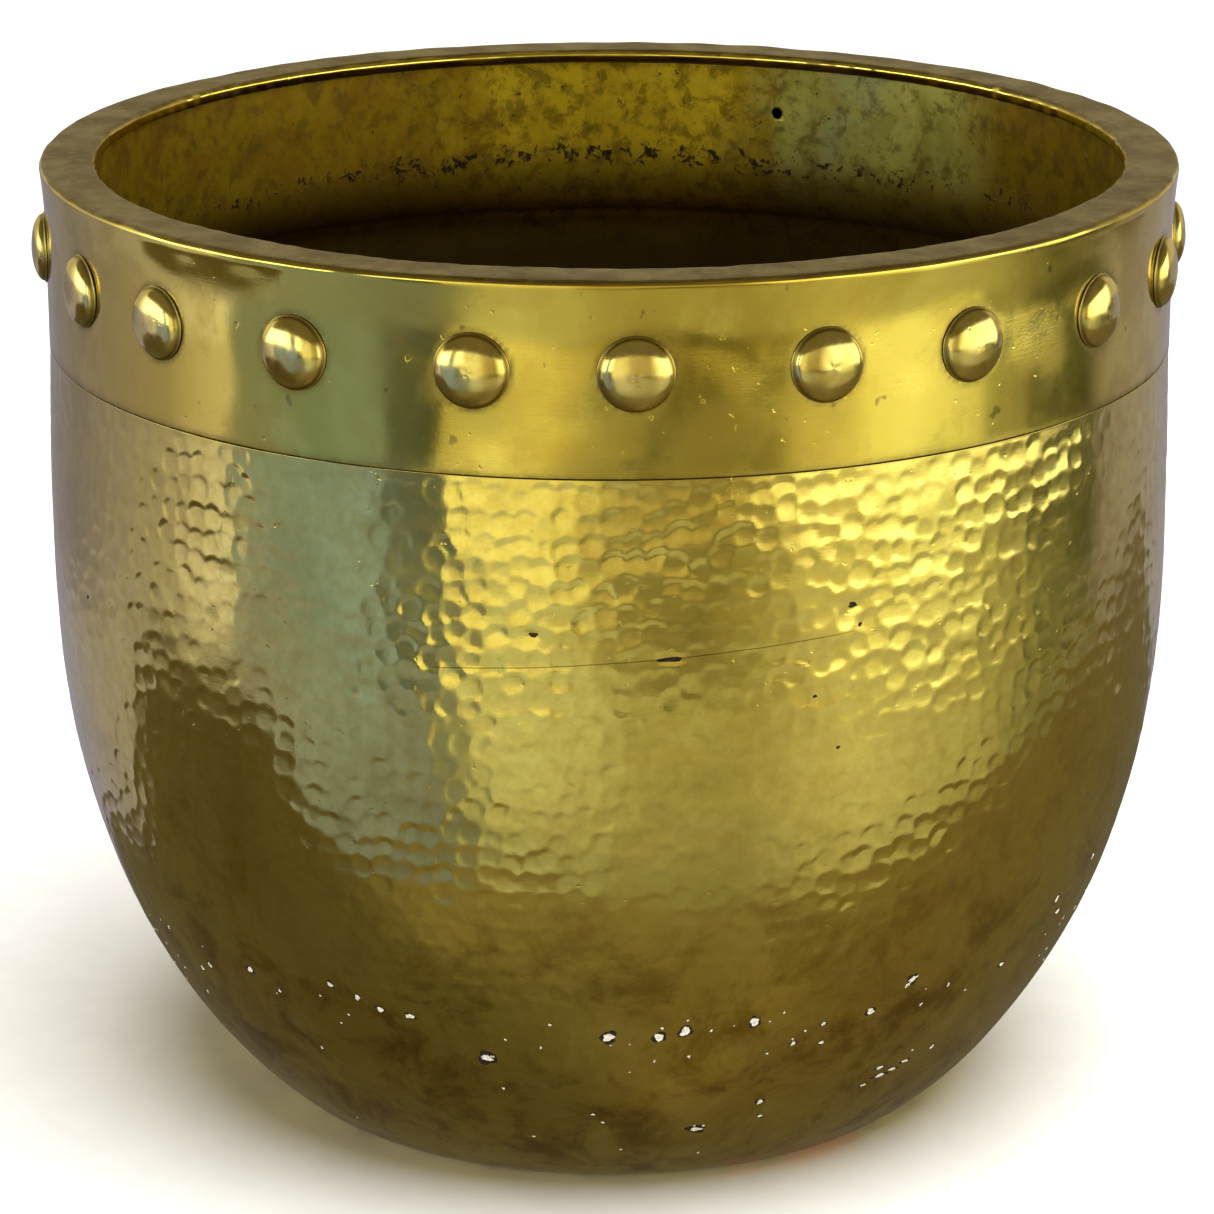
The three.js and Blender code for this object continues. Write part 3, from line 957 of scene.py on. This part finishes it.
def cut_holes(piece, places, radius, wall):
    """Round holes straight through a wall, one at each bearing and height."""
    columns = 24
    turn = TURN * np.arange(columns) / columns
    points, triangles, quads = [], [], []
    start = 0
    for bearing, height in places:
        outward = np.array((math.sin(bearing), -math.cos(bearing), 0))
        side = np.array((math.cos(bearing), math.sin(bearing), 0))
        rim = np.outer(radius * np.cos(turn), side) + np.outer(radius * np.sin(turn), (0, 0, 1))
        rings = []
        for depth in (-4 * MM, 4 * MM):
            rings.append(rim + outward * (wall + depth) + np.array((0, 0, height)))
        p, t, q = skin(rings, poles=True)
        points.append(p)
        triangles.append(t + start)
        quads.append(q + start)
        start += len(p)
    drills = make_piece("drills", np.vstack(points), np.vstack(triangles), np.vstack(quads), [])
    cut = piece.modifiers.new("holes", "BOOLEAN")
    cut.object = drills
    cut.operation = "DIFFERENCE"
    cut.solver = "EXACT"
    apply_modifiers(piece)
    bpy.data.objects.remove(drills)


def apply_modifiers(piece):
    made = bpy.data.meshes.new_from_object(
        piece.evaluated_get(bpy.context.evaluated_depsgraph_get())
    )
    piece.modifiers.clear()
    piece.data = made


def make_bowl():
    rings, finish, surface = bowl_rings()
    points, triangles, quads = skin(rings, poles=True)
    finish = np.concatenate((finish, (0, 1)))
    piece = make_piece("bowl_hammered", points, triangles, quads, [bowl_brass(), interior_brass()], finish)
    cut_holes(piece, [(HOLE_BEARING, POT_HEIGHT - HOLE_DEPTH)], HOLE_RADIUS, NECK_RADIUS)
    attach(piece, "root")
    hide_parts("bowl")
    make_lime(surface)


SPECK_GROWTH = 1.4
LIME = [
    # bearing in degrees, height, width and length of each speck of lime, all but the first in mm;
    # make_lime draws width and length larger by SPECK_GROWTH
    (-0.1, 77.1, 2.8, 2.6),
    (5.4, 76.7, 2.5, 2.3),
    (8.2, 78.8, 2.5, 3.0),
    (15.8, 80.7, 2.5, 2.6),
    (30.1, 76.4, 2.2, 2.0),
    (24.2, 75.3, 1.3, 1.2),
    (21.0, 68.3, 1.3, 1.3),
    (24.7, 66.4, 1.2, 1.3),
    (43.8, 47.9, 1.2, 1.6),
    (19.1, 40.7, 1.5, 1.8),
    (19.9, 32.7, 1.2, 1.4),
    (-2.0, 39.7, 1.0, 0.9),
    (-0.8, 35.4, 1.0, 1.0),
    (35.4, 46.2, 2.6, 1.1),
    (36.2, 41.8, 3.2, 1.2),
    (37.9, 43.2, 2.8, 1.0),
    (39.6, 45.4, 2.3, 0.9),
    (34.1, 39.0, 1.7, 0.9),
    (-51.9, 75.6, 1.6, 1.5),
    (-43.4, 82.6, 2.0, 1.7),
    (-31.4, 87.1, 1.6, 1.4),
    (-28.2, 83.9, 1.5, 1.7),
    (-25.6, 80.5, 2.0, 1.5),
    (-22.1, 79.7, 2.2, 1.6),
    (-54.4, 71.5, 1.3, 1.5),
    (60.0, 88.6, 2.0, 1.6),
    (58.0, 96.0, 1.6, 2.0),
    (66.0, 104.0, 1.4, 1.8),
    (50.0, 78.0, 1.5, 1.5),
]
PITS = [
    # the same for patches of dark crust with lime in them
    (-13.9, 64.7, 7.4, 6.4),
    (11.4, 30.0, 7.4, 5.2),
    (34.7, 86.5, 5.2, 4.6),
]
NICKS = [
    # the same for small dark nicks in the hammered wall
    (5.6, 219.2, 9.5, 1.5),
    (-7.0, 227.5, 2.6, 2.0),
    (23.2, 233.0, 3.4, 1.8),
    (24.0, 226.0, 1.6, 1.4),
    (19.5, 203.0, 1.4, 1.2),
    (22.0, 184.0, 1.8, 1.0),
    (-64.0, 205.0, 2.0, 1.6),
    (118.0, 214.0, 2.4, 1.6),
    (-151.0, 190.0, 3.0, 1.8),
]


def blob(rng, bearing, height, wide, tall, lift, surface):
    """An irregular low mound on the bowl's wall: rings and pole of points, and its triangles."""
    columns = 20
    turn = TURN * np.arange(columns) / columns
    edge = 1 + 0.16 * np.cos(2 * turn + rng.uniform(0, TURN))
    edge += 0.13 * np.cos(3 * turn + rng.uniform(0, TURN))
    edge += 0.09 * np.cos(5 * turn + rng.uniform(0, TURN)) + rng.normal(0, 0.05, columns)
    points = []
    for share, rise in ((1.0, -0.02), (0.86, 0.55), (0.6, 0.85), (0.3, 1.0), (0.02, 1.05)):
        across = 0.5 * wide * share * edge * np.cos(turn)
        along = 0.5 * tall * share * edge * np.sin(turn)
        rough = lift * (rise + (0.25 * rng.normal(0, 1, columns) if rise > 0 else 0))
        points.append(surface(bearing, height, across, along, rough))
    return skin(points, poles=True)


def make_lime(surface):
    """Specks of lime and dark crust left along an old water line, as one piece."""
    rng = np.random.default_rng(77)
    spots = list(LIME)
    for _ in range(150):
        bearing = rng.uniform(-180, 180)
        drop = abs(rng.normal(0, 12)) if rng.random() < 0.65 else rng.uniform(0, 75)
        size = min(0.5 + rng.exponential(0.45), 2.4)
        if abs(bearing) < 70:
            size = 0.45 + 0.4 * rng.random()
        spots.append((bearing, max(84 - drop, 5), size, size * rng.uniform(0.7, 1.6)))
    parts, finish = [], []
    for bearing, height, wide, tall in spots:
        wide, tall = SPECK_GROWTH * wide, SPECK_GROWTH * tall
        halo = rng.uniform(1.35, 1.6) if wide > 1.2 else 1.1
        shape = (math.radians(bearing), height * MM)
        parts.append(blob(rng, *shape, halo * wide * MM, halo * tall * MM, 0.035 * MM, surface))
        finish.append(1)
        lift = min(0.09 * wide, 0.2) * MM
        parts.append(blob(rng, *shape, wide * MM, tall * MM, lift, surface))
        finish.append(0)
    for bearing, height, wide, tall in PITS:
        shape = (math.radians(bearing), height * MM)
        parts.append(blob(rng, *shape, wide * MM, tall * MM, 0.07 * MM, surface))
        finish.append(1)
        core = (0.55 * wide * MM, 0.5 * tall * MM)
        parts.append(blob(rng, *shape, *core, 0.2 * MM, surface))
        finish.append(0)
        for _ in range(5):
            off = rng.normal(0, 1.2, 2)
            bit = rng.uniform(0.7, 1.5) * MM
            beside = shape[0] + off[0] * MM / 0.17
            parts.append(blob(rng, beside, shape[1] + off[1] * MM, bit, bit, 0.18 * MM, surface))
            finish.append(0)
    for bearing, height, wide, tall in NICKS:
        shape = (math.radians(bearing), height * MM)
        parts.append(blob(rng, *shape, wide * MM, tall * MM, 0.03 * MM, surface))
        finish.append(1)
    points, triangles, quads, kinds = [], [], [], []
    start = 0
    for (p, t, q), kind in zip(parts, finish):
        points.append(p)
        triangles.append(t + start)
        quads.append(q + start)
        kinds.append(np.full(len(p), kind))
        start += len(p)
    piece = make_piece(
        "lime_specks",
        np.vstack(points),
        np.vstack(triangles),
        np.vstack(quads),
        [lime(), dark_crust()],
        np.concatenate(kinds),
    )
    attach(piece, "root")


def make_collar():
    rings, fields = collar_rings()
    points, triangles, quads = skin(rings, closed=True)
    piece = make_piece("collar_folded", points, triangles, quads, [collar_brass()], fields=fields)
    cut_holes(piece, [place[1:] for place in stud_places()], SHANK_HOLE_RADIUS, SEAM_RADIUS)
    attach(piece, "root")
    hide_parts("rim_collar")


def make_studs():
    brass = stud_brass()
    for index, (name, bearing, height) in enumerate(stud_places()):
        rings = stud_rings(index)
        points, triangles, quads = skin(rings, poles=True)
        edge = np.hypot(points[:, 0], points[:, 1])
        # Painted shade at the brim's edge and on the underside, where the stud sits on the collar.
        grime_and_shade = np.exp(-(((edge - 12.1 * MM) / (0.5 * MM)) ** 2))
        grime_and_shade = np.maximum(grime_and_shade, (points[:, 2] < 0.45 * MM).astype(float))
        points = bent_round(points, bearing, height)
        piece = make_piece(name + "_dome", points, triangles, quads, [brass], fields={"grime_and_shade": grime_and_shade})
        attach(piece, "root")
        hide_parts(name)


make_camera()
make_room()
make_stage()
make_bowl()
make_collar()
make_studs()
